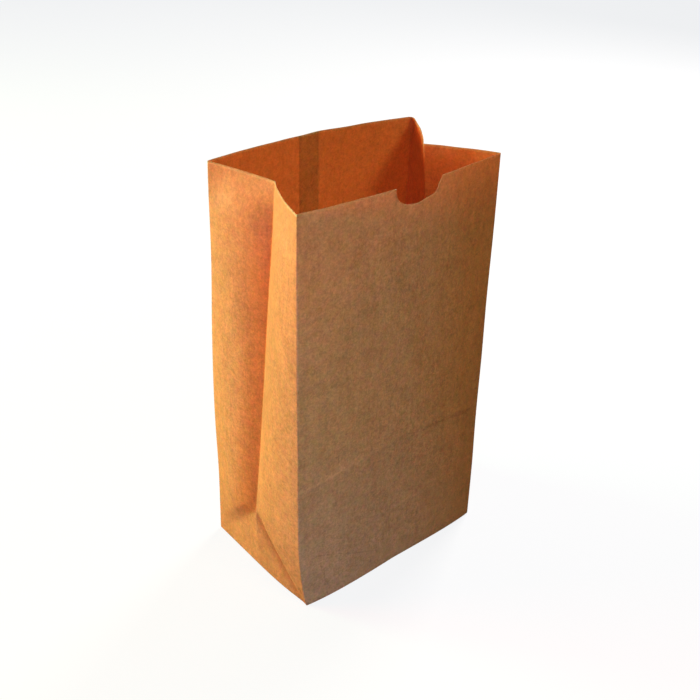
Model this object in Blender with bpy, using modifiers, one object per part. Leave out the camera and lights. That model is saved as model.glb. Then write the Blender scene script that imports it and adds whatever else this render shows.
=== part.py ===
"""Brown paper lunch bag, standing open: one folded and glued sheet of kraft paper.

The sheet is a tube with a lap seam up its back panel and a gusset in each side. Its
lower end is folded into a flat bottom, with side plies inside and two glued flaps below.
Metres, +Z up. The origin is the middle of the bottom, and the notched front faces -Y.
"""

import math

import bmesh
import bpy
from mathutils import Vector

# Sheet and its glued places
PLY = 0.00014
SEAM_LAP = 0.0155
SEAM_LEFT_OF_MIDDLE = 0.0083
BOTTOM_LAP = 0.020

# Bag
WIDTH = 0.155
DEPTH = 0.0955
HEIGHT = 0.2765

# Thumb notch in the front panel's top edge
NOTCH_WIDTH = 0.035
NOTCH_DEPTH = 0.012
NOTCH_RIGHT_OF_MIDDLE = 0.0052
NOTCH_SQUARENESS = 2.4
NOTCH_FLOOR_RISE = 0.30
NOTCH_SIDE_SLOPE = 2.9
NOTCH_SIDE_END = 1.03
NOTCH_ROUNDING = 0.06

# How the bag stands open: the gussets' creases pushed in at the mouth, the mouth's drift
LEFT_PUSH = 0.0158
RIGHT_PUSH = 0.0272
LEFT_CREASE_BACK = -0.0009
RIGHT_CREASE_BACK = 0.0020
FRONT_DRIFT = -0.0024

# Bows of the six stretches of the mouth, positive to the outside
FRONT_BOW = 0.0046
BACK_BOW = 0.0076
LEFT_FRONT_BOW = 0.0014
LEFT_BACK_BOW = -0.0010
RIGHT_FRONT_BOW = 0.0015
RIGHT_BACK_BOW = 0.0019
BOW_GROWTH = 1.4

# The stiff lap seam stands out of the back panel by a bell curve over shares of its width
SEAM_BOW = 0.0019
SEAM_BOW_PLACE = 0.555
SEAM_BOW_REACH = 0.07

# Bows of the front's foot and, half way up, of the back left edge
FOOT_BOW = 0.0023
BACK_LEFT_EDGE_BOW = 0.0013

# How far down the mouth's bows reach, and how a gusset takes up its spare width below them
MOUTH_REACH = 0.030
FOLD_RUN = 0.012
LEAST_BACK_LEFT_BOW = 0.0042
LEFT_SPREAD = 1.0
RIGHT_SPREAD = 0.7

# The tucked corner at the bottom of the front panel's left edge
TUCK_RIGHT = 0.0046
TUCK_FORWARD = 0.0020
TUCK_HEIGHT = 0.060
TUCK_SPREAD = 0.46
TUCK_SHARPNESS = 8

# Press lines that the flat-folded bottom leaves on the front panel
CREASE_RELIEF = 0.0005
CREASE_REACH = 0.006

# Divisions of the surface
PANEL_COLUMNS = 12
SEAM_COLUMNS = 2
GUSSET_COLUMNS = 8
BETWEEN_ROWS = 2
UPPER_ROWS = 14
NOTCH_STEPS = 16

# Making allowances
GLUE = 0.25 * PLY
FLAP_INSET = 0.5 * PLY
WALL_CLEARANCE = 2 * PLY
CUTTER_TOP = 6 * PLY
OVERSHOOT = 0.005

HALF_DEPTH = DEPTH / 2
SIDE_PLIES = 2 * PLY
FLAP = HALF_DEPTH + BOTTOM_LAP / 2
KRAFT = (0.47, 0.27, 0.13, 1.0)


def chord(length, bow):
    """Straight distance between the ends of a stretch of paper that bows by this much."""
    return length - 8 * bow * bow / (3 * length)


def mouth_points():
    """The six creases where they meet the mouth.

    A half gusset keeps its width, so pushing the middle crease in draws the front and the
    back edge together.
    """
    half_front = chord(WIDTH, FRONT_BOW) / 2
    half_back = chord(WIDTH, BACK_BOW + SEAM_BOW) / 2
    across = {
        "front_left": FRONT_DRIFT - half_front,
        "front_right": FRONT_DRIFT + half_front,
        "back_right": half_back,
        "back_left": -half_back,
    }
    points = {}
    sides = (
        ("left", -WIDTH / 2 + LEFT_PUSH, LEFT_PUSH, LEFT_CREASE_BACK, LEFT_FRONT_BOW, LEFT_BACK_BOW),
        ("right", WIDTH / 2 - RIGHT_PUSH, RIGHT_PUSH, RIGHT_CREASE_BACK, RIGHT_FRONT_BOW, RIGHT_BACK_BOW),
    )
    for side, x, push, y, front_bow, back_bow in sides:
        rise = math.sqrt((HEIGHT - HALF_DEPTH) ** 2 - push**2)
        points[side + "_crease"] = Vector((x, y, HALF_DEPTH + rise))
        for face, bow, way in (("front_", front_bow, -1), ("back_", back_bow, 1)):
            span = chord(HALF_DEPTH, bow)
            reach = math.sqrt(span**2 - (across[face + side] - x) ** 2)
            points[face + side] = Vector((across[face + side], y + way * reach, HEIGHT))
    return points


MOUTH = mouth_points()
BASE = {
    "front_left": Vector((-WIDTH / 2, -HALF_DEPTH, 0)),
    "front_right": Vector((WIDTH / 2, -HALF_DEPTH, 0)),
    "back_right": Vector((WIDTH / 2, HALF_DEPTH, 0)),
    "back_left": Vector((-WIDTH / 2, HALF_DEPTH, 0)),
}


def tuck(height, sideways, forward):
    """Shift of the sheet near the tucked corner, for the shares of its two parts."""
    fade = max(0.0, 1 - height / TUCK_HEIGHT) ** 2
    return Vector((TUCK_RIGHT * sideways, -TUCK_FORWARD * forward, 0)) * fade


def edge_point(name, height):
    """A vertical edge of the bag: straight, but for the back left one, which bows outwards."""
    climb = min(1.0, height / HEIGHT)
    point = BASE[name].lerp(MOUTH[name], climb)
    if name == "back_left":
        point.x -= BACK_LEFT_EDGE_BOW * math.sin(math.pi * climb) ** 3
    return point


def crease_point(side, height):
    """A gusset's middle: upright up to the apex of the fold, then leaning in to the mouth."""
    x = -WIDTH / 2 if side == "left" else WIDTH / 2
    apex = Vector((x, 0, HALF_DEPTH))
    if height <= HALF_DEPTH:
        return Vector((x, 0, height))
    return apex.lerp(MOUTH[side + "_crease"], (height - HALF_DEPTH) / (HEIGHT - HALF_DEPTH))


def press_relief(height):
    """How far a fold line left by the flat-folded bottom stands out of the front panel."""
    relief = 0.0
    for line in (HALF_DEPTH, DEPTH):
        relief += max(0.0, 1 - abs(height - line) / CREASE_REACH)
    return CREASE_RELIEF * relief


def panel_point(face, share, height):
    """The front or back panel, at a share of its width from its left edge."""
    point = edge_point(face + "_left", height).lerp(edge_point(face + "_right", height), share)
    climb = height / HEIGHT
    parabola = 4 * share * (1 - share)
    if face == "back":
        seam = math.exp(-(((share - SEAM_BOW_PLACE) / SEAM_BOW_REACH) ** 2))
        point.y += (BACK_BOW * parabola + SEAM_BOW * seam) * climb**BOW_GROWTH
        return point
    point.y -= FRONT_BOW * parabola * climb**BOW_GROWTH
    point.y -= FOOT_BOW * (1 - (2 * share - 1) ** 4) * (1 - climb)
    point.y -= press_relief(height) * math.sin(math.pi * share)
    return point + tuck(height, 1 - share, max(0.0, 1 - 4 * share * share))


def gusset_lift(side, face, share, height, span):
    """Outward bow of half a gusset whose edges lie this far apart, a parabola.

    Well below the mouth it takes up the paper's spare width, and the left back half keeps a
    least bow. At the mouth it is the mouth's own bow. Next to the diagonal fold it ends.
    """
    bows = {
        "front_left": LEFT_FRONT_BOW,
        "back_left": LEFT_BACK_BOW,
        "front_right": RIGHT_FRONT_BOW,
        "back_right": RIGHT_BACK_BOW,
    }
    name = face + "_" + side
    spare = span * max(0.0, HALF_DEPTH - span)
    climb = max(0.0, min(1.0, (HEIGHT - height) / MOUTH_REACH))
    settled = climb * climb * (3 - 2 * climb)
    above = max(0.0, min(1.0, (height - HALF_DEPTH * share) / FOLD_RUN)) * min(1.0, height / HALF_DEPTH)
    spread = LEFT_SPREAD if side == "left" else RIGHT_SPREAD
    bow = spread * math.sqrt(3 * spare / 8)
    if name == "back_left":
        bow = max(bow, LEAST_BACK_LEFT_BOW)
    return 4 * share * (1 - share) * (bow * settled * above + bows[name] * (1 - settled))


def gusset_point(side, face, share, height):
    """Half a gusset, at a share of its width from the panel's edge to the middle crease.

    Under the apex a diagonal fold parts an upright triangle, which stands on the bottom's
    side, from the triangle that goes on up the panel's edge.
    """
    name = face + "_" + side
    apex = crease_point(side, HALF_DEPTH)
    start = edge_point(name, max(height, HALF_DEPTH))
    end = crease_point(side, max(height, HALF_DEPTH))
    across = end - start
    span = math.hypot(across.x, across.y)
    outward = Vector((across.y, -across.x, 0)) / span
    if (outward.x < 0) != (side == "left"):
        outward.negate()
    if height >= HALF_DEPTH:
        point = start.lerp(end, share)
    else:
        foot = edge_point(name, 0)
        up = height / HALF_DEPTH
        if share >= up:
            middle = crease_point(side, 0)
            point = foot + (middle - foot) * share + (apex - middle) * up
        else:
            knee = edge_point(name, HALF_DEPTH)
            point = foot + (knee - foot) * up + (apex - knee) * share
    point += outward * gusset_lift(side, face, share, height, span)
    if side == "left":
        nearness = 1 - share / 2 if face == "front" else share / 2
        sideways = TUCK_SPREAD * nearness + (1 - TUCK_SPREAD) * nearness**TUCK_SHARPNESS
        point += tuck(height, sideways, nearness)
    return point


def shares(count, start=0.0, end=1.0):
    """Evenly spaced values from the start up to, but without, the end."""
    return [start + (end - start) * step / count for step in range(count)]


def seam_shares():
    """Where the lap seam starts and ends across the back panel."""
    left = 0.5 - SEAM_LEFT_OF_MIDDLE / WIDTH
    return left, left + SEAM_LAP / WIDTH


def back_shares():
    """Columns of the back panel from left to right, with one on each side of the seam."""
    seam_start, seam_end = seam_shares()
    plain = PANEL_COLUMNS - SEAM_COLUMNS
    left_columns = round(plain * seam_start / (seam_start + 1 - seam_end))
    columns = shares(left_columns, 0, seam_start)
    columns += shares(SEAM_COLUMNS, seam_start, seam_end)
    columns += shares(plain - left_columns, seam_end, 1)
    return columns + [1.0]


def wall_heights():
    """Rows of the wall: even steps up to the apex, one on each press line, then to the mouth."""
    lower = shares(GUSSET_COLUMNS, 0, HALF_DEPTH)
    press = (DEPTH - CREASE_REACH, DEPTH, DEPTH + CREASE_REACH)
    between = [HALF_DEPTH]
    between += shares(BETWEEN_ROWS + 1, HALF_DEPTH + CREASE_REACH, press[0])
    upper = shares(UPPER_ROWS, press[-1], HEIGHT)
    return lower + between + list(press[:-1]) + upper + [HEIGHT]


def wall_ring(height):
    """One turn round the wall, anticlockwise seen from above, from the front left edge."""
    ring = [panel_point("front", share, height) for share in shares(PANEL_COLUMNS)]
    ring += [gusset_point("right", "front", share, height) for share in shares(GUSSET_COLUMNS)]
    ring += [gusset_point("right", "back", 1 - share, height) for share in shares(GUSSET_COLUMNS)]
    ring += [panel_point("back", share, height) for share in back_shares()[:0:-1]]
    ring += [gusset_point("left", "back", share, height) for share in shares(GUSSET_COLUMNS)]
    ring += [gusset_point("left", "front", 1 - share, height) for share in shares(GUSSET_COLUMNS)]
    return [point + Vector((0, 0, SIDE_PLIES * (1 - height / HEIGHT))) for point in ring]


def falls_left(column):
    """Whether a lower cell is cut along the diagonal that falls to the left."""
    front_right = PANEL_COLUMNS <= column < PANEL_COLUMNS + GUSSET_COLUMNS
    left_start = 2 * PANEL_COLUMNS + 2 * GUSSET_COLUMNS
    back_left = left_start <= column < left_start + GUSSET_COLUMNS
    return front_right or back_left


def bag_sheet(collection, paper):
    """The folded sheet: its outer face as a grid, thickened inwards by one ply."""
    shape = bmesh.new()
    rings = [[shape.verts.new(point) for point in wall_ring(height)] for height in wall_heights()]
    around = len(rings[0])
    for row, (low, high) in enumerate(zip(rings, rings[1:])):
        for column in range(around):
            after = (column + 1) % around
            corners = [low[column], low[after], high[after], high[column]]
            if row >= GUSSET_COLUMNS:
                shape.faces.new(corners)
                continue
            first = 0 if falls_left(column) else 1
            turned = corners[first:] + corners[:first]
            shape.faces.new((turned[0], turned[1], turned[2]))
            shape.faces.new((turned[0], turned[2], turned[3]))
    add_bottom(shape, rings[0])
    bmesh.ops.recalc_face_normals(shape, faces=shape.faces)
    sheet = add_object("paper_bag", shape, collection, paper)
    wall = sheet.modifiers.new("ply", "SOLIDIFY")
    wall.thickness = PLY
    wall.offset = -1
    wall.use_even_offset = True
    return sheet


def add_bottom(shape, ring):
    """Closes the foot of the wall with a grid that runs from the front to the back."""
    rows = 2 * GUSSET_COLUMNS
    front = ring[: PANEL_COLUMNS + 1]
    right = ring[PANEL_COLUMNS : PANEL_COLUMNS + rows + 1]
    back = ring[PANEL_COLUMNS + rows : 2 * PANEL_COLUMNS + rows + 1][::-1]
    left = (ring[2 * PANEL_COLUMNS + rows :] + ring[:1])[::-1]
    grid = [front]
    for row in range(1, rows):
        share = row / rows
        line = [left[row]]
        for column in range(1, PANEL_COLUMNS):
            across = column / PANEL_COLUMNS
            point = front[column].co.lerp(back[column].co, share)
            sides = left[row].co.lerp(right[row].co, across)
            ends = left[0].co.lerp(left[-1].co, share).lerp(right[0].co.lerp(right[-1].co, share), across)
            line.append(shape.verts.new(point + sides - ends))
        grid.append(line + [right[row]])
    grid.append(back)
    for near, far in zip(grid, grid[1:]):
        for column in range(PANEL_COLUMNS):
            shape.faces.new((near[column], far[column], far[column + 1], near[column + 1]))


def seam_strip(collection, paper):
    """The inner ply of the lap seam, on the inside of the back panel from bottom to mouth."""
    seam_start, seam_end = seam_shares()
    columns = shares(SEAM_COLUMNS, seam_start, seam_end) + [seam_end]
    heights = wall_heights()
    heights[0] = PLY
    inward = Vector((0, GLUE - PLY, 0))
    shape = bmesh.new()
    rows = []
    for height in heights:
        shift = inward + Vector((0, 0, SIDE_PLIES * (1 - height / HEIGHT)))
        rows.append([shape.verts.new(panel_point("back", share, height) + shift) for share in columns])
    for low, high in zip(rows, rows[1:]):
        for column in range(SEAM_COLUMNS):
            shape.faces.new((low[column + 1], low[column], high[column], high[column + 1]))
    strip = add_object("lap_seam", shape, collection, paper)
    ply = strip.modifiers.new("ply", "SOLIDIFY")
    ply.thickness = PLY + GLUE
    ply.offset = -1
    return strip


def base_place(from_left, from_front):
    """A place on the bottom, given in distances along the sheet, on the real outline."""
    across = from_left / WIDTH
    place = panel_point("front", across, 0).lerp(panel_point("back", across, 0), from_front / DEPTH)
    return place.x, place.y


def plate(name, outline, bottom, top, collection, paper):
    """A flat piece with this outline between two heights."""
    shape = bmesh.new()
    face = shape.faces.new([shape.verts.new((x, y, bottom)) for x, y in outline])
    grown = bmesh.ops.extrude_face_region(shape, geom=[face])
    moved = [item for item in grown["geom"] if isinstance(item, bmesh.types.BMVert)]
    bmesh.ops.translate(shape, verts=moved, vec=(0, 0, top - bottom))
    bmesh.ops.recalc_face_normals(shape, faces=shape.faces)
    return add_object(name, shape, collection, paper)


def bottom_flap(name, at_front, lowest, collection, paper):
    """One glued flap of the bottom: full width at its fold, narrowing at 45 degrees."""
    folded, cut = (FLAP_INSET, FLAP) if at_front else (DEPTH - FLAP_INSET, DEPTH - FLAP)
    ends = FLAP_INSET, WIDTH - FLAP_INSET
    outline = [base_place(across, folded) for across in shares(PANEL_COLUMNS, *ends)]
    outline.append(base_place(ends[1], folded))
    outline += [base_place(WIDTH - FLAP, cut), base_place(FLAP, cut)]
    return plate(name, outline, lowest, SIDE_PLIES + GLUE, collection, paper)


def side_ply_gap(collection, paper):
    """The space between the cut ends of the two side plies, seen inside on the bottom."""
    half = WIDTH / 2 - FLAP
    deep = HALF_DEPTH - WALL_CLEARANCE
    outline = [(-half, -deep), (half, -deep), (half, deep), (-half, deep)]
    return plate("side_ply_gap", outline, SIDE_PLIES + GLUE / 2, CUTTER_TOP, collection, paper)


def notch_share(across):
    """The notch's depth as a share, from -1 at its left end to about 1 at its right one.

    The left half is a superellipse. The right half has a rising floor and a steep straight
    side, blended where they meet.
    """
    if across < 0:
        return max(0.0, 1 - abs(across) ** NOTCH_SQUARENESS) ** (1 / NOTCH_SQUARENESS)
    floor = 1 - NOTCH_FLOOR_RISE * min(across, 1.0)
    side = (NOTCH_SIDE_END - across) * NOTCH_SIDE_SLOPE
    blend = math.exp(-floor / NOTCH_ROUNDING) + math.exp(-side / NOTCH_ROUNDING)
    return max(0.0, -NOTCH_ROUNDING * math.log(blend))


def notch_cutter(collection, paper):
    """The thumb notch: its outline carried back with upright sides, through the front only."""
    middle = (MOUTH["front_left"] + MOUTH["front_right"]) / 2
    centre_x = middle.x + NOTCH_RIGHT_OF_MIDDLE
    half = NOTCH_WIDTH / 2
    outline = [(NOTCH_SIDE_END * half, OVERSHOOT), (-half, OVERSHOOT)]
    for step in range(NOTCH_STEPS):
        across = -math.cos(math.pi / 2 * step / NOTCH_STEPS) ** (2 / NOTCH_SQUARENESS)
        outline.append((across * half, -NOTCH_DEPTH * notch_share(across)))
    for step in range(NOTCH_STEPS + 1):
        across = NOTCH_SIDE_END * step / NOTCH_STEPS
        outline.append((across * half, -NOTCH_DEPTH * notch_share(across)))
    shape = bmesh.new()
    front = middle.y - FRONT_BOW - OVERSHOOT
    verts = [shape.verts.new((centre_x + x, front, HEIGHT + z)) for x, z in outline]
    grown = bmesh.ops.extrude_face_region(shape, geom=[shape.faces.new(verts)])
    moved = [item for item in grown["geom"] if isinstance(item, bmesh.types.BMVert)]
    bmesh.ops.translate(shape, verts=moved, vec=(0, -front, 0))
    bmesh.ops.recalc_face_normals(shape, faces=shape.faces)
    return add_object("thumb_notch", shape, collection, paper)


def add_object(name, shape, collection, paper):
    """Puts a shape into the scene as an object of its own."""
    mesh = bpy.data.meshes.new(name)
    shape.to_mesh(mesh)
    shape.free()
    mesh.materials.append(paper)
    made = bpy.data.objects.new(name, mesh)
    collection.objects.link(made)
    return made


def kraft_paper():
    """Brown kraft paper, matt on both sides."""
    paper = bpy.data.materials.new("kraft_paper")
    paper.use_nodes = True
    shader = paper.node_tree.nodes["Principled BSDF"]
    shader.inputs["Base Color"].default_value = KRAFT
    shader.inputs["Roughness"].default_value = 0.85
    shader.inputs["Metallic"].default_value = 0.0
    return paper


def combine(sheet, other, operation):
    """Joins a glued ply to the sheet, or cuts a shape out of it."""
    step = sheet.modifiers.new(other.name, "BOOLEAN")
    step.operation = operation
    step.object = other
    step.solver = "EXACT"
    other.hide_render = True
    other.display_type = "WIRE"


def clear_scene():
    for item in list(bpy.data.objects):
        bpy.data.objects.remove(item, do_unlink=True)


def build():
    clear_scene()
    bag = bpy.data.collections.new("paper_lunch_bag")
    helpers = bpy.data.collections.new("plies_and_cutters")
    for collection in (bag, helpers):
        bpy.context.scene.collection.children.link(collection)
    paper = kraft_paper()
    sheet = bag_sheet(bag, paper)
    combine(sheet, seam_strip(helpers, paper), "UNION")
    combine(sheet, bottom_flap("back_flap", False, PLY, helpers, paper), "UNION")
    combine(sheet, bottom_flap("front_flap", True, 0, helpers, paper), "UNION")
    combine(sheet, side_ply_gap(helpers, paper), "DIFFERENCE")
    combine(sheet, notch_cutter(helpers, paper), "DIFFERENCE")


build()
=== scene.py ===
"""Brown paper lunch bag, standing open: its folded sheet, its kraft paper, and the studio round it."""

import math

import bpy
import numpy as np
from mathutils import Matrix, Vector


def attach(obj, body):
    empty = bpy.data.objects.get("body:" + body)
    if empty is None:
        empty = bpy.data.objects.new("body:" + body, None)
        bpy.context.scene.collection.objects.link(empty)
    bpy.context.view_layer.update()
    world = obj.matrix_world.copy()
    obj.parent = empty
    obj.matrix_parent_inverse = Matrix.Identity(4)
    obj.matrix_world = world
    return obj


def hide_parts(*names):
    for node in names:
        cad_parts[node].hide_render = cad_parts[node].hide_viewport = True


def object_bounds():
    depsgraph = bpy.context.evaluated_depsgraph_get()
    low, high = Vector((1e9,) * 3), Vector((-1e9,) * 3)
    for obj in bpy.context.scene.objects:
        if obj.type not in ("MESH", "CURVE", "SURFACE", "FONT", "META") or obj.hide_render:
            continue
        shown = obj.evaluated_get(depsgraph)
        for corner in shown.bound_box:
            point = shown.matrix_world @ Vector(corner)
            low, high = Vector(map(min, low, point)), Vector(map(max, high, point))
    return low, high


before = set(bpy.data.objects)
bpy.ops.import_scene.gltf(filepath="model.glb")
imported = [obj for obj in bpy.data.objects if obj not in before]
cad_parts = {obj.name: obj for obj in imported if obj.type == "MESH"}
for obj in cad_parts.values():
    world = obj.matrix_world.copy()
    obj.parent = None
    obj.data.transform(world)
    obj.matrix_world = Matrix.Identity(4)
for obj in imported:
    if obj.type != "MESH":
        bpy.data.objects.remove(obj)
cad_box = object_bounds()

# The folded sheet. The bag is one sheet of brown kraft paper, about 90 g/m2, made into a tube
# with a glued lap seam up its back and a gusset in each side. It was stored flat, so its folds
# are pressed in, and it stands open with both gussets still drawn in at the mouth.

ply = 0.00014
width = 0.155
depth = 0.0955
height = cad_box[1].z
half_depth = depth / 2
girth = 2 * (width + depth)

gusset_push = {"left": 0.0158, "right": 0.0272}
crease_back = {"left": -0.0009, "right": 0.0020}
front_drift = -0.0024
panel_bow = {"front": 0.0046, "back": 0.0076}
seam_bow = 0.0019
seam_bow_place = 0.555
seam_bow_reach = 0.07
foot_bow = 0.0023
back_left_bow = 0.0013
gusset_bow = {
    ("left", "front"): 0.0014,
    ("left", "back"): -0.0010,
    ("right", "front"): 0.0015,
    ("right", "back"): 0.0019,
}
bow_growth = 1.4


def mouth_corners():
    """The six creases at the mouth. A half gusset keeps its width, so a crease that is pushed
    in by some distance draws the panels' edges together along the other two sides."""
    chord = lambda length, bow: length - 8 * bow**2 / (3 * length)
    corners = {}
    for side, way in (("left", -1), ("right", 1)):
        push = gusset_push[side]
        rise = math.sqrt((height - half_depth) ** 2 - push**2)
        crease = np.array([way * (width / 2 - push), crease_back[side], half_depth + rise])
        corners[side, "crease"] = crease
        for face, out, drift in (("front", -1, front_drift), ("back", 1, 0.0)):
            bow = panel_bow[face] + (seam_bow if face == "back" else 0)
            x = drift + way * chord(width, bow) / 2
            reach = math.sqrt(chord(half_depth, gusset_bow[side, face]) ** 2 - (x - crease[0]) ** 2)
            corners[side, face] = np.array([x, crease[1] + out * reach, height])
    return corners


mouth = mouth_corners()
foot = {
    (side, face): np.array([x * width / 2, y * half_depth, 0.0])
    for side, x in (("left", -1), ("right", 1))
    for face, y in (("front", -1), ("back", 1))
}

tuck_shift = np.array([0.0046, -0.0020, 0.0])
tuck_height = 0.060
tuck_spread = 0.46
tuck_sharpness = 8
dent_depth = 0.0034
dent_reach = 0.009
dent_return = 0.0016
mouth_reach = 0.030
fold_run = 0.012
least_bend = {("left", "back"): 0.0042}
gusset_spread = {"left": 1.0, "right": 0.7}


def tuck(sideways, forward, z):
    """Shift of the sheet where the foot of the front's left edge is tucked in, for the shares of
    its two parts: whole at the corner, and fading with the square of the height."""
    fade = np.clip(1 - z / tuck_height, 0, 1) ** 2
    return fade[..., None] * np.stack([sideways, forward, 0 * forward], -1) * tuck_shift


def upright_edge(side, face, z):
    """A vertical edge of the bag: a straight line from the foot to the mouth. The back left one
    also bows outwards, by a sine's cube of the height."""
    climb = np.clip(z / height, 0, 1)
    points = foot[side, face] + (mouth[side, face] - foot[side, face]) * climb[..., None]
    if (side, face) == ("left", "back"):
        points[..., 0] -= back_left_bow * np.sin(np.pi * climb) ** 3
    return points


def panel(face, share, z):
    """Front or back panel: a straight line between its edges, plus a parabola outwards that
    grows with a power of the height. The back adds a bell curve at its stiff seam, and the
    front a quartic that fades from its foot up."""
    left, right = upright_edge("left", face, z), upright_edge("right", face, z)
    points = left + (right - left) * share[..., None]
    climb = np.clip(z / height, 0, 1)
    lift = panel_bow[face] * 4 * share * (1 - share)
    if face == "back":
        lift = lift + seam_bow * np.exp(-(((share - seam_bow_place) / seam_bow_reach) ** 2))
        points[..., 1] += lift * climb**bow_growth
        return points
    points[..., 1] -= lift * climb**bow_growth + foot_bow * (1 - (2 * share - 1) ** 4) * (1 - climb)
    return points + tuck(1 - share, np.clip(1 - 4 * share**2, 0, 1), z)


def gusset_lift(side, face, share, z, chord):
    """Outward bow of half a gusset, a parabola. Well below the mouth it takes up what the
    paper's width has over the straight distance between its edges, and the left back half
    keeps a least bend. At the mouth it is the mouth's own bow, and it ends at the diagonal
    fold."""
    spare = chord * np.clip(half_depth - chord, 0, None)
    settled = np.clip((height - z) / mouth_reach, 0, 1)
    settled = settled * settled * (3 - 2 * settled)
    above = np.clip((z - half_depth * share) / fold_run, 0, 1) * np.clip(z / half_depth, 0, 1)
    parabola = 4 * share * (1 - share)
    bend = np.sqrt(0.375 * spare) * gusset_spread[side]
    bend = np.maximum(bend, least_bend.get((side, face), 0)) * parabola
    return bend * settled * above + gusset_bow[side, face] * parabola * (1 - settled)


def half_gusset(side, face, share, z):
    """Half a gusset, from the panel's edge to the middle crease. Above the fold's apex it is a
    straight line plus its bow. Below it, a diagonal parts the triangle that stands on the
    bottom, which is flat, from the one that goes up the edge."""
    out = -1 if side == "left" else 1
    apex = np.array([out * width / 2, 0.0, half_depth])
    crease = mouth[side, "crease"]
    climb = np.clip((z - half_depth) / (height - half_depth), 0, 1)
    start = upright_edge(side, face, np.maximum(z, half_depth))
    end = apex + (crease - apex) * climb[..., None]
    along = end - start
    chord = np.linalg.norm(along[..., :2], axis=-1)
    outward = np.stack([along[..., 1], -along[..., 0], 0 * z], -1) / chord[..., None]
    outward *= (out * np.sign(outward[..., 0]))[..., None]
    lift = gusset_lift(side, face, share, z, chord)
    corner = foot[side, face]
    middle = np.array([out * width / 2, 0.0, 0.0])
    up = z / half_depth
    standing = corner + (middle - corner) * share[..., None] + (apex - middle) * up[..., None]
    knee = upright_edge(side, face, np.array(half_depth))
    climbing = corner + (knee - corner) * up[..., None] + (apex - knee) * share[..., None]
    lower = np.where((share >= up)[..., None], standing, climbing)
    points = np.where((z >= half_depth)[..., None], start + along * share[..., None], lower)
    points += outward * lift[..., None]
    if side == "left":
        points[..., 0] += diagonal_dent(face, share, z)
        near = 1 - share / 2 if face == "front" else share / 2
        points += tuck(tuck_spread * near + (1 - tuck_spread) * near**tuck_sharpness, near, z)
    return points


def diagonal_dent(face, share, z):
    """Inward dent of the left gusset's front half along its diagonal fold: it deepens
    exponentially towards the fold and returns at once beyond it."""
    if face == "back":
        return 0 * z
    under = (half_depth * share - z) / math.sqrt(2)
    slope = np.exp(-np.abs(under) / np.where(under > 0, dent_reach, dent_return))
    return dent_depth * slope * np.sin(np.pi * np.clip(share, 0, 1)) ** 0.7 * (z < half_depth)


stretches = [
    (0.0, width, lambda share, z: panel("front", share, z)),
    (width, half_depth, lambda share, z: half_gusset("right", "front", share, z)),
    (width + half_depth, half_depth, lambda share, z: half_gusset("right", "back", 1 - share, z)),
    (width + depth, width, lambda share, z: panel("back", 1 - share, z)),
    (2 * width + depth, half_depth, lambda share, z: half_gusset("left", "back", share, z)),
    (girth - half_depth, half_depth, lambda share, z: half_gusset("left", "front", 1 - share, z)),
]


def sharp_sheet(place, z):
    """The sheet with sharp folds, at a distance round the tube from the front's left edge."""
    place = place % girth
    points = np.zeros(place.shape + (3,))
    for start, length, stretch in stretches:
        here = (place >= start) & (place < start + length)
        points[here] = stretch((place[here] - start) / length, z[here])
    return points


fold_reach = 0.0006
open_fold_reach = 0.0045
open_fold_fade = 0.008
back_right_edge = width + depth
wave_size = 0.00022
waves = (
    (3, 31.0, 0.4), (5, 22.0, 1.9), (8, 47.0, 3.1),
    (11, 16.0, 5.2), (17, 74.0, 0.9), (26, 38.0, 2.6),
)


def waviness(place, z):
    """Slight waves of paper that has been folded: a sum of plane cosines round and up the tube,
    each weaker than the one before, and none at the foot."""
    total = sum(
        np.cos(2 * np.pi * turns * place / girth + rate * z + start) / (1 + 0.35 * index)
        for index, (turns, rate, start) in enumerate(waves)
    )
    return wave_size * total * np.clip(z / 0.05, 0, 1)


press_relief = 0.0005
press_reach = 0.0045
press_rise = 0.0085


def front_share(place):
    """Share of the front panel's width, and whether the place is on that panel."""
    return np.clip(place / width, 0, 1), (place >= 0) & (place <= width)


def press_line(place):
    """Height of the line that the flat-folded bottom left on the front: a low arch."""
    share, _ = front_share(place % girth)
    return depth + press_rise * np.sin(np.pi * share) ** 1.2


def press_strength(place, z):
    """How near a place is to one of the two press lines, as a bell curve of the height."""
    share, on_front = front_share(place % girth)
    near = np.exp(-(((z - press_line(place)) / press_reach) ** 2))
    near += 0.8 * np.exp(-(((z - half_depth) / press_reach) ** 2))
    return near * on_front * np.sin(np.pi * share) ** 0.5


def press_line_light_and_shade(place, z):
    """Painted light and shade along the upper press line: a narrow bell curve, light at the left, dark
    at the right.
    """
    share, on_front = front_share(place % girth)
    away = (z - press_line(place)) / 0.0011
    return np.exp(-(away**2)) * (0.45 - share) * np.sin(np.pi * share) ** 0.5 * on_front


def right_edge_painted_shade(place):
    """How much painted shade darkens the front towards its right edge: a smooth step."""
    share, on_front = front_share(place % girth)
    step = np.clip((share - 0.45) / 0.5, 0, 1)
    return step * step * (3 - 2 * step) * on_front


def foot_painted_light(place, z):
    """How much painted cool light tints the front at its foot: a line that fades up and to the right.
    """
    share, on_front = front_share(place % girth)
    return np.clip(1 - z / 0.13, 0, 1) * np.clip(1.15 - share, 0, 1) * on_front


diagonal_fade = 0.0080
diagonal_line = 0.0010
diagonal_end = 0.0004
foot_fade = 0.06


def diagonal_painted_shade(place, z):
    """How much painted shade lies below the left gusset's front diagonal fold: a bell curve of the
    distance from the fold, a sharper line on it, and a faint fade up from the foot."""
    share = (girth - place % girth) / half_depth
    away = (half_depth * share - z) / math.sqrt(2)
    away, beyond = np.abs(away), away <= 0
    below = 0.85 * np.exp(-((away / diagonal_fade) ** 2)) + 0.15 * np.exp(-away / diagonal_line)
    mark = np.where(beyond, np.exp(-away / diagonal_end), below)
    mark = mark * np.sin(np.pi * np.clip(share, 0, 1)) ** 0.25
    return np.maximum(mark, 0.22 * np.clip(1 - z / foot_fade, 0, 1)) * (share <= 1)


slit_height = 0.0115
slit_length = 0.0032
slit_width = 0.0006


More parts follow.
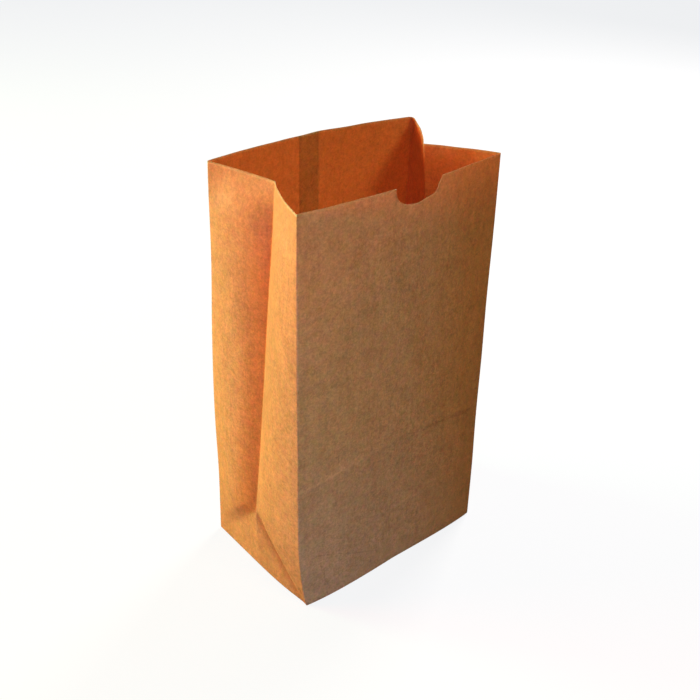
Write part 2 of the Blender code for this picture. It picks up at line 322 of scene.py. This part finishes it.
def tuck_painted_shadow(place, z):
    """Painted shadow in the slit of the tucked corner, beside the front's left edge: a slanting bell
    curve.
    """
    beside = girth - place % girth - 0.0014 - 0.35 * (z - 0.008)
    return np.exp(-((beside / slit_width) ** 2) - ((z - slit_height) / slit_length) ** 2)


def back_half_share(place):
    """Share of the left gusset's back half, up to its middle crease, and whether it is there."""
    share = 1 - (girth - half_depth - place % girth) / half_depth
    return np.clip(share, 0, 1), (share >= 0) & (share <= 1)


def valley_painted_shade(place, z):
    """How much painted warm shade lies beside the left gusset's middle crease: a smooth step towards
    it.
    """
    share, on_half = back_half_share(place)
    step = np.clip((share - 0.45) / 0.55, 0, 1)
    above = np.clip((z - half_depth * share) / 0.004, 0, 1)
    return step * step * (3 - 2 * step) * above * on_half * np.clip((height - z) / 0.06, 0, 1)


def fold_painted_shade(place, z):
    """The strongest of the left gusset's painted shades: its diagonal, its tucked corner, its low
    valley.
    """
    low_valley_shade = 0.45 * valley_painted_shade(place, z) * np.clip(1.6 - z / 0.11, 0, 1)
    return np.maximum(np.maximum(diagonal_painted_shade(place, z), tuck_painted_shadow(place, z)), low_valley_shade)


def pale_tone(place, z):
    """How much painted light pales the left gusset towards its back edge, half way up: a squared sine.
    """
    share, on_half = back_half_share(place)
    climb = np.clip(z / height, 0, 1)
    return np.clip(1 - share / 0.75, 0, 1) ** 0.6 * np.sin(np.pi * climb) ** 2 * on_half


def sheet(place, z):
    """The sheet with its folds rounded: each point is the mean of the sharp sheet's points
    within reach on both sides, so a fold becomes a parabola as wide as the reach."""
    near_mouth = np.exp(-(height - z) / open_fold_fade)
    near_edge = np.exp(-(((place - back_right_edge) / 0.012) ** 2))
    reach = fold_reach + open_fold_reach * near_mouth * near_edge
    steps = np.linspace(-1, 1, 11)
    return sum(sharp_sheet(place + step * reach, z) for step in steps) / len(steps)


def facing(place, z):
    """The sheet's outward direction, from the cross product of its two tangents."""
    small = 0.0004
    around = sheet(place + small, z) - sheet(place - small, z)
    up = sheet(place, z + small) - sheet(place, z - small)
    normal = np.cross(around, up)
    return normal / np.linalg.norm(normal, axis=-1, keepdims=True)


seam_start = width + depth + width / 2 - 0.0072
seam_end = seam_start + 0.0155
seam_fade = 0.008


def seam_inset(place):
    """How far the outer and the inner face lie inside the panel's own plane at the lap seam.
    The outer ply ends at the seam's start, where the face steps in by one ply and comes back
    over the fade. The inner ply ends at the seam's end, so the inner face steps there."""
    before = np.exp(-np.clip(seam_start - place, 0, None) / seam_fade) * (place < seam_start)
    on_seam = (place >= seam_start) & (place <= seam_end)
    return ply * before, ply * (before + on_seam)


notch_width = 0.035
notch_depth = 0.012
notch_centre = width / 2 + 0.0052
notch_squareness = 2.4
notch_squeeze = 0.032


def notch_cut(place):
    """Depth of the thumb notch: a superellipse to the left of its middle. To the right, a
    sloping floor and a steep straight side, blended where they cross."""
    across = (place - notch_centre) / (notch_width / 2)
    left = np.clip(1 - np.abs(across) ** notch_squareness, 0, 1) ** (1 / notch_squareness)
    floor = 1.0 - 0.30 * np.clip(across, 0, 1)
    side = np.clip(1.03 - across, 0, None) * 2.9
    right = -0.06 * np.log(np.exp(-floor / 0.06) + np.exp(-side / 0.06))
    cut = np.where(across < 0, left, np.clip(right, 0, None) * (across < 1.03))
    return notch_depth * cut


def gathered(start, length, count):
    """Places along a stretch that gather at both ends: even steps less most of a sine wave."""
    steps = np.arange(count) / count
    return start + length * (steps - 0.92 * np.sin(2 * np.pi * steps) / (2 * np.pi))


gusset_steps = 30
sliver = 0.00002


def tube_columns():
    """Places round the tube, close together at the folds, the notch's sides and the seam."""
    columns = np.concatenate([
        gathered(start, length, gusset_steps if length == half_depth else 64)
        for start, length, _ in stretches
    ])
    turn = np.linspace(0, np.pi / 2, 22)
    notch = notch_centre - notch_width / 2 * np.cos(turn) ** (2 / notch_squareness)
    notch = np.append(notch, notch_centre + notch_width / 2 * np.linspace(0, 1.06, 26)[1:])
    columns = columns[(columns < notch[0] - 0.0008) | (columns > notch[-1] + 0.0008)]
    seam = np.array([seam_start - sliver, seam_start, seam_end, seam_end + sliver])
    clear = np.abs(columns[:, None] - seam).min(axis=1) > 0.0006
    return np.sort(np.concatenate([columns[clear], notch, seam]))


def tube_rows():
    """Heights of the rows: in the gussets' folded part they match its columns, so that the
    diagonal folds run through the grid's corners. They are close at the press line."""
    lower = half_depth * (gathered(0, 1, gusset_steps))
    middle = np.arange(half_depth, 0.088, 0.0025)
    press = np.arange(0.089, 0.111, 0.0012)
    upper = np.arange(0.1125, height - notch_squeeze, 0.0032)
    rim = np.linspace(height - notch_squeeze, height, 18)
    return np.concatenate([lower[1:], middle, press, upper, rim])


base_lift = 2 * ply
foot_radius = 0.0006
round_steps = 5


def tube_grid():
    """Outer face, cut edge and inner face as one grid: up the outside and down the inside.
    The foot is a quarter circle in section. The inner face is the outer one, moved inwards."""
    places = tube_columns()
    rows = tube_rows()
    turn = np.linspace(0, np.pi / 2, round_steps, endpoint=False)
    rows = rows[rows > 2 * foot_radius]
    heights = np.concatenate([foot_radius * (1 - np.cos(turn)), rows])
    inset = np.concatenate([foot_radius * (1 - np.sin(turn)), 0 * rows])
    tilt = np.concatenate([np.cos(turn), 0 * rows])
    place, z = np.meshgrid(places, heights)
    climb = np.clip((z - (height - notch_squeeze)) / notch_squeeze, 0, 1)
    cut_z = z - climb * notch_cut(place)
    points = sheet(place, cut_z)
    normal = facing(place, cut_z)
    outer_inset, inner_inset = seam_inset(place)
    wave = waviness(place, cut_z) + press_relief * press_strength(place, cut_z)
    level = normal * [1, 1, 0]
    level /= np.linalg.norm(level, axis=-1, keepdims=True)
    points = points + normal * wave[..., None] - level * inset[:, None, None]
    points[..., 2] += base_lift * np.clip(1 - z / 0.01, 0, 1)
    normal = level * np.cos(np.arcsin(tilt))[:, None, None] + [0, 0, -1] * tilt[:, None, None] \
        + (normal - level) * (tilt[:, None, None] == 0)
    outer = points - normal * outer_inset[..., None]
    inner = points - normal * (ply + inner_inset)[..., None]
    return places, cut_z, np.concatenate([outer, inner[::-1]])


def grid_triangles(rows, columns, places):
    """Two triangles in each cell, split so that the gussets' diagonal folds are kept."""
    row, column = np.meshgrid(np.arange(rows - 1), np.arange(columns), indexing="ij")
    after = (column + 1) % columns
    a, b = row * columns + column, row * columns + after
    c, d = (row + 1) * columns + after, (row + 1) * columns + column
    falls = (places > width + half_depth) & (places < width + depth) | (places > girth - half_depth)
    inside = row >= rows // 2
    swap = (falls[None, :] ^ inside)[..., None]
    first = np.where(swap, np.stack([a, b, d], -1), np.stack([a, b, c], -1))
    second = np.where(swap, np.stack([b, c, d], -1), np.stack([a, c, d], -1))
    return np.concatenate([first.reshape(-1, 3), second.reshape(-1, 3)])


def mesh_from(name, points, faces, smooth):
    """A mesh from whole arrays of points and faces."""
    mesh = bpy.data.meshes.new(name)
    mesh.from_pydata(points.reshape(-1, 3), [], faces)
    mesh.update()
    mesh.polygons.foreach_set("use_smooth", smooth)
    return mesh


def fade_to(distance, reach):
    """A bell curve of a distance, 1 at zero."""
    return np.exp(-((distance / reach) ** 2))


def add_values(mesh, **values):
    """Stores a number for each point of a mesh, which the paper's finish reads."""
    for name, numbers in values.items():
        layer = mesh.attributes.new(name, "FLOAT", "POINT")
        layer.data.foreach_set("value", np.asarray(numbers, dtype=np.float32).ravel())


def paper_bag():
    """The bag's mesh: the tube's grid, and a flat sheet that closes its foot."""
    places, z, points = tube_grid()
    rows, columns = points.shape[:2]
    faces = grid_triangles(rows, columns, places).tolist()
    outer_foot = list(range(columns))[::-1]
    inner_foot = list(range((rows - 1) * columns, rows * columns))
    smooth = [True] * len(faces) + [False, False]
    mesh = mesh_from("paper_tube", points, faces + [outer_foot, inner_foot], smooth)
    place = np.broadcast_to(places, (rows, columns))
    both = np.concatenate([z, z[::-1]])
    folds = np.array([start for start, _, _ in stretches] + [girth])
    to_fold = np.abs(place[..., None] - folds).min(axis=-1)
    inside = np.zeros((rows, columns))
    inside[rows // 2:] = 1
    on_seam = (place >= seam_start) & (place <= seam_end)
    rim = height - notch_cut(place)
    add_values(
        mesh,
        inside=inside,
        fold=fade_to(to_fold, 0.0009),
        plies=on_seam * 1.0,
        edge=fade_to(rim - both, 0.0006),
        press=press_strength(place, both),
        # This one and the five below hold painted light and shade: the press line's light and shade,
        # shade in the left gusset's folds, warm shade beside its middle crease, light on its back half,
        # shade at the front's right edge, and cool light at the front's foot.
        line=press_line_light_and_shade(place, both),
        crease=fold_painted_shade(place, both),
        valley=valley_painted_shade(place, both),
        pale=pale_tone(place, both),
        deep=right_edge_painted_shade(place),
        grey=foot_painted_light(place, both),
    )
    return mesh


tube = bpy.data.objects.new("paper_tube", paper_bag())
bpy.context.scene.collection.objects.link(tube)

# The flat bottom. The tube's lower end is cut and folded: the gussets' ends lie inside as side
# plies with a gap between their cut ends, and the two panels' ends are glued over them below
# as flaps with slanting ends, the front one outermost.

flap_length = half_depth + 0.010
flap_plies = 0.35
fold_nose = 0.00012
fold_inset = 0.0002


def flat_ply(name, near, far, bottom):
    """One ply of the bottom: straight lines from a folded edge to a cut edge, given as places
    one after the other, with a half circle round the fold."""
    turn = np.linspace(0, np.pi, 7)
    along = np.concatenate([fold_nose * (1 - np.sin(turn)), [flap_length, flap_length]])
    up = bottom + np.concatenate([ply / 2 * (1 + np.cos(turn)), [0, ply]])
    share = (along / flap_length)[None, :, None]
    flat = near[:, None] + (far - near)[:, None] * share
    points = np.concatenate([flat, np.broadcast_to(up[None, :, None], flat.shape[:2] + (1,))], axis=2)
    ring = len(along)
    index = np.arange(ring)
    after = (index + 1) % ring
    strip = np.stack([index, after, ring + after, ring + index], -1)
    steps = np.arange(len(near) - 1)[:, None, None] * ring
    faces = (strip[None] + steps).reshape(-1, 4).tolist()
    faces += [index[::-1].tolist(), (ring * (len(near) - 1) + index).tolist()]
    return mesh_from(name, points, faces, [False] * len(faces))


def foot_places(start, end):
    """Places on the tube's foot between two distances round it."""
    place = np.linspace(start, end, 41)
    return sheet(place, 0 * place)[:, :2]


def bottom_plies():
    """The two flaps below and the two side plies inside, as the tube's foot folds them. Each
    fold lies just within the foot's outline, and the flaps narrow at 45 degrees."""
    inner = width / 2 - flap_length
    share = np.linspace(-1, 1, 41)
    made = []
    for name, start, way, bottom in (("front_flap", 0, -1, 0.0), ("back_flap", width + depth, 1, ply)):
        near = foot_places(start + fold_inset, start + width - fold_inset) - [0, way * fold_inset]
        far = np.stack([-way * inner * share, 0 * share + way * (half_depth - flap_length)], -1)
        made.append(flat_ply(name, near, far, bottom))
    inset = 3 * fold_inset
    for name, start, way in (("left_side_ply", 2 * width + depth, -1), ("right_side_ply", width, 1)):
        near = foot_places(start + inset, start + depth - inset) - [way * inset, 0]
        far = np.stack([0 * share + way * inner, way * (half_depth - inset) * share], -1)
        made.append(flat_ply(name, near, far, 3 * ply))
    return made


bottom = []
for mesh in bottom_plies():
    count = len(mesh.vertices)
    inner_side = "side" in mesh.name
    values = dict.fromkeys(layer.name for layer in tube.data.attributes if layer.data_type == "FLOAT")
    values = {name: np.zeros(count) for name in values}
    values["inside"] += inner_side
    values["plies"] += flap_plies
    add_values(mesh, **values)
    piece = bpy.data.objects.new(mesh.name, mesh)
    bpy.context.scene.collection.objects.link(piece)
    bottom.append(piece)

# The paper. Unbleached kraft is made of long brown fibres that lie mostly along the tube. It is
# matt, cloudy and specked, paler at its cut edges and rubbed folds, and thin enough to let warm
# light through. Painted shade darkens the left gusset's folds and the front's right edge, painted
# light pales the left gusset's back half and greys the front's foot, the front's wrinkles and upper
# press line carry painted shade and light, and the inside's brown is a little redder, in part
# painted warm light bounced within the bag.


class Tone:
    """A number or colour at each place of the paper, held by a node's output."""

    def __init__(self, socket):
        self.socket = socket

    def math(self, operation, *others, clamp=False):
        return node(self.socket.id_data, "ShaderNodeMath", {"operation": operation, "use_clamp": clamp},
                    dict(enumerate((self, *others))))

    def times(self, vector):
        return node(self.socket.id_data, "ShaderNodeVectorMath", {"operation": "SCALE"},
                    {"Vector": tuple(vector), "Scale": self})

    def __add__(self, other):
        return self.math("ADD", other)

    def __sub__(self, other):
        return self.math("SUBTRACT", other)

    def __rsub__(self, other):
        return (self * -1.0).math("ADD", other)

    def __mul__(self, other):
        return self.math("MULTIPLY", other)

    __radd__ = __add__
    __rmul__ = __mul__


def node(tree, kind, settings, inputs, output=0):
    """Adds a node: its settings first, then the values or links of its sockets."""
    made = tree.nodes.new(kind)
    for name, value in settings.items():
        setattr(made, name, value)
    for name, value in inputs.items():
        if isinstance(value, Tone):
            tree.links.new(value.socket, made.inputs[name])
        else:
            made.inputs[name].default_value = value
    return Tone(made.outputs[output])


kraft = (0.55, 0.300, 0.140, 1.0)
# The inside's brown is a little redder, in part painted warm light bounced within the bag.
kraft_inside_painted_bounce = (0.55, 0.280, 0.120, 1.0)
kraft_double = (0.50, 0.255, 0.115, 1.0)
kraft_fold = (0.56, 0.32, 0.16, 1.0)
kraft_cut = (0.50, 0.42, 0.24, 1.0)
# The next five colours paint shade and light: shade in the left gusset's folds, shade at the front's
# right edge, cool light at the front's foot, warm shade beside the left gusset's middle crease, and
# light on its back half.
kraft_crease_shade_tint = (0.34, 0.120, 0.045, 1.0)
kraft_deep = (0.51, 0.235, 0.070, 1.0)
kraft_grey = (0.55, 0.345, 0.250, 1.0)
kraft_valley_shade_tint = (0.66, 0.22, 0.045, 1.0)
kraft_pale = (0.62, 0.36, 0.17, 1.0)
glow = (1.0, 0.38, 0.20, 1.0)
wrinkle_lines = (
    ((-0.0688, 0.0379), (-0.0632, 0.0381), (-0.0476, 0.0319), (-0.0339, 0.0249), (-0.0151, 0.0169)),
    ((-0.0589, 0.0251), (-0.0580, 0.0120), (-0.0560, 0.0002)),
    ((-0.0417, 0.0528), (-0.0232, 0.0541)),
)
wrinkle_width = 0.0006
front_start = -0.044


def wrinkles(tree, where):
    """Fine wrinkles at the front's foot, given by corners in x and z: the distance to the
    nearest stretch between two corners, turned into a tone that is 1 on the line."""
    joined = lambda operation, first, second, output=0: node(
        tree, "ShaderNodeVectorMath", {"operation": operation}, {0: first, 1: second}, output=output)
    flat = joined("MULTIPLY", where, (1, 0, 1))
    nearest = None
    for corners in wrinkle_lines:
        for (x, z), (end_x, end_z) in zip(corners, corners[1:]):
            run = Vector((end_x - x, 0, end_z - z))
            reached = joined("SUBTRACT", flat, (x, 0, z))
            share = joined("DOT_PRODUCT", reached, run / run.length_squared, output="Value")
            share = share.math("MULTIPLY", 1.0, clamp=True)
            beside = joined("SUBTRACT", reached, share.times(run))
            away = joined("LENGTH", beside, (0, 0, 0), output="Value")
            nearest = away if nearest is None else nearest.math("MINIMUM", away)
    return (1.0 - nearest * (1 / wrinkle_width)).math("MULTIPLY", 1.0, clamp=True)


def kraft_paper():
    """Kraft paper on object coordinates: clouds, a fine grain, upright streaks of fibre and dark
    specks change its brown, and the stored values add folds, cut edges and double plies, a redder
    inside that is in part painted bounced light, and painted light and shade on the left gusset and
    the front."""
    material = bpy.data.materials.new("kraft_paper")
    material.use_nodes = True
    tree = material.node_tree
    tree.nodes.clear()
    where = node(tree, "ShaderNodeTexCoord", {}, {}, output="Object")
    stored = lambda name: node(tree, "ShaderNodeAttribute", {"attribute_name": name}, {}, output="Fac")
    upright = node(tree, "ShaderNodeMapping", {}, {"Vector": where, "Scale": (1.0, 1.0, 0.06)})
    noise = lambda vector, scale, detail, rough: node(
        tree, "ShaderNodeTexNoise", {"noise_dimensions": "3D"},
        {"Vector": vector, "Scale": scale, "Detail": detail, "Roughness": rough}) - 0.5
    clouds = noise(where, 90.0, 4.0, 0.6)
    patches = noise(where, 14.0, 2.0, 0.5)
    mottle = noise(where, 330.0, 2.0, 0.6)
    grain = noise(where, 760.0, 3.0, 0.7)
    streaks = noise(upright, 650.0, 3.0, 0.6)
    ribs = noise(upright, 210.0, 2.0, 0.5)
    rusty = noise(where, 240.0, 3.0, 0.6)
    olive = noise(where, 290.0, 3.0, 0.6)
    cells = node(tree, "ShaderNodeTexVoronoi", {"feature": "F1"}, {"Vector": where, "Scale": 420.0})
    specks = (0.16 - cells).math("MULTIPLY", 7.0, clamp=True)
    mix = lambda factor, first, second: node(
        tree, "ShaderNodeMix", {"data_type": "RGBA", "clamp_factor": True},
        {0: factor, 6: first, 7: second}, output=2)
    # The inside's redder brown is in part painted warm light bounced within the bag.
    colour = mix(stored("inside"), kraft, kraft_inside_painted_bounce)
    colour = mix(stored("plies"), colour, kraft_double)
    colour = mix(stored("fold") * 0.30, colour, kraft_fold)
    colour = mix(stored("press") * 0.10, colour, kraft_fold)
    colour = mix(stored("edge") * 0.8, colour, kraft_cut)
    # These five mixes paint shade and light: shade at the front's right edge, cool light at its foot,
    # light on the left gusset's back half, warm shade beside its middle crease, and shade along its
    # diagonal fold, in its tucked corner and in its low valley.
    colour = mix(stored("deep") * 0.9, colour, kraft_deep)
    colour = mix(stored("grey") * 0.8, colour, kraft_grey)
    # Painted light on the left gusset's back half, towards its back edge.
    colour = mix(stored("pale"), colour, kraft_pale)
    # Painted warm shade beside the left gusset's middle crease.
    colour = mix(stored("valley") * 0.75, colour, kraft_valley_shade_tint)
    # Painted shade along the left gusset's diagonal fold, in its tucked corner and in its low valley.
    colour = mix(stored("crease"), colour, kraft_crease_shade_tint)
    forward = node(tree, "ShaderNodeSeparateXYZ", {}, {"Vector": where}, output="Y")
    on_front = forward.math("LESS_THAN", front_start)
    # The wrinkles' tone darkens the colour below as painted shade, and also raises the relief's bump.
    wrinkle_relief_and_shade = wrinkles(tree, where) * on_front * (1.0 - stored("inside"))
    # The press line's stored tone added below is painted light and shade.
    shade = 1.0 + clouds * 0.42 + patches * 0.16 + mottle * 0.62 + grain * 1.35
    shade = shade + streaks * 0.34 + ribs * 0.10 - specks * 0.22 + stored("line") - wrinkle_relief_and_shade * 0.22
    shade = node(tree, "ShaderNodeCombineColor", {}, {
        "Red": shade + rusty * 0.42,
        "Green": shade - rusty * 0.17 + olive * 0.17,
        "Blue": shade - olive * 0.7,
    })
    colour = node(tree, "ShaderNodeMix", {"data_type": "RGBA", "blend_type": "MULTIPLY"},
                  {0: 1.0, 6: colour, 7: shade}, output=2)
    roughness = 0.52 + grain * 0.2 - stored("fold") * 0.06
    relief = grain * 0.8 + mottle * 0.9 + streaks * 0.5 + clouds * 1.2 - wrinkle_relief_and_shade * 0.8
    normal = node(tree, "ShaderNodeBump", {}, {"Height": relief, "Strength": 0.22, "Distance": 0.00012})
    face = node(tree, "ShaderNodeBsdfPrincipled", {}, {
        "Base Color": colour, "Roughness": roughness, "Normal": normal, "Specular IOR Level": 0.50})
    through = node(tree, "ShaderNodeBsdfTranslucent", {}, {"Color": glow, "Normal": normal})
    thin = 0.30 - stored("plies") * 0.13
    both = node(tree, "ShaderNodeMixShader", {}, {0: thin, 1: face, 2: through})
    out = tree.nodes.new("ShaderNodeOutputMaterial")
    tree.links.new(both.socket, out.inputs["Surface"])
    return material


paper = kraft_paper()
for piece in [tube, *bottom]:
    piece.data.materials.append(paper)
    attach(piece, "root")
    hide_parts("paper_bag")

# The studio. A white table that glows a little, as a lit acrylic sheet does, and throws no light
# on the bag. Two low lamps behind it light the left gusset, one shines through the right gusset,
# and two weak ones light the front and the inside. All are square soft boxes.

table_size = 9.0


def table_top():
    """The white table: a flat square, just under the bag's foot."""
    half = table_size / 2
    corners = np.array([[-half, -half, 0], [half, -half, 0], [half, half, 0], [-half, half, 0]])
    corners[:, 2] = cad_box[0].z - 0.0001
    return mesh_from("table", corners, [[0, 1, 2, 3]], [False])


def table_white():
    """Matt white with a faint glow of its own."""
    material = bpy.data.materials.new("table_white")
    material.use_nodes = True
    shader = material.node_tree.nodes["Principled BSDF"]
    shader.inputs["Base Color"].default_value = (0.10, 0.10, 0.10, 1)
    shader.inputs["Roughness"].default_value = 0.9
    shader.inputs["Emission Color"].default_value = (0.96, 0.975, 1.0, 1)
    shader.inputs["Emission Strength"].default_value = 0.88
    return material


table = bpy.data.objects.new("table", table_top())
bpy.context.scene.collection.objects.link(table)
table.data.materials.append(table_white())
table.visible_diffuse = False
table.visible_glossy = False
table.visible_transmission = False

target = Vector((0, 0, height / 2))


def soft_lamp(name, azimuth, elevation, distance, size, power, colour):
    """A square lamp that faces the bag, at an angle round it and above the table."""
    lamp = bpy.data.lights.new(name, "AREA")
    lamp.size = size
    lamp.energy = power
    lamp.color = colour
    holder = bpy.data.objects.new(name, lamp)
    turn, rise = math.radians(azimuth), math.radians(elevation)
    away = Vector((math.sin(turn) * math.cos(rise), -math.cos(turn) * math.cos(rise), math.sin(rise)))
    holder.location = target + away * distance
    holder.rotation_euler = away.to_track_quat("Z", "Y").to_euler()
    bpy.context.scene.collection.objects.link(holder)


soft_lamp("key_lamp", azimuth=-143, elevation=9, distance=1.5, size=0.4,
          power=37, colour=(0.46, 1.0, 0.49))
soft_lamp("warm_lamp", azimuth=-125, elevation=12, distance=1.5, size=0.5,
          power=33.5, colour=(1.0, 0.22, 0.05))
soft_lamp("right_lamp", azimuth=110, elevation=30, distance=1.5, size=0.5,
          power=24, colour=(1.0, 0.93, 0.87))
soft_lamp("near_fill", azimuth=-40, elevation=0, distance=0.5, size=0.25,
          power=1.3, colour=(0.62, 0.92, 1.0))
soft_lamp("front_lamp", azimuth=8, elevation=47, distance=1.5, size=0.35,
          power=8.3, colour=(1.0, 0.65, 0.24))

room = bpy.data.worlds.new("studio")
room.use_nodes = True
room.node_tree.nodes["Background"].inputs["Color"].default_value = (1.0, 1.0, 1.0, 1)
room.node_tree.nodes["Background"].inputs["Strength"].default_value = 0.004
bpy.context.scene.world = room

# The camera, in front of the bag's left edge and above its mouth, turned down and rolled a
# little, as the picture was taken. It takes the picture to be 700 x 700.

camera_place = Vector((-0.33552, -0.39621, 0.46585))
camera_turn = math.radians(39.995)
camera_down = math.radians(31.640)
camera_roll = math.radians(2.425)
sensor = 36.0
focal_pixels = 937.45
picture_pixels = 700

lens = bpy.data.cameras.new("camera")
lens.sensor_width = sensor
lens.lens = focal_pixels * sensor / picture_pixels
lens.clip_start = 0.01
camera = bpy.data.objects.new("camera", lens)
camera.matrix_world = (
    Matrix.Translation(camera_place)
    @ Matrix.Rotation(-camera_turn, 4, "Z")
    @ Matrix.Rotation(math.pi / 2 - camera_down, 4, "X")
    @ Matrix.Rotation(camera_roll, 4, "Z")
)
bpy.context.scene.collection.objects.link(camera)
bpy.context.scene.camera = camera
bpy.context.scene.view_settings.view_transform = "Standard"
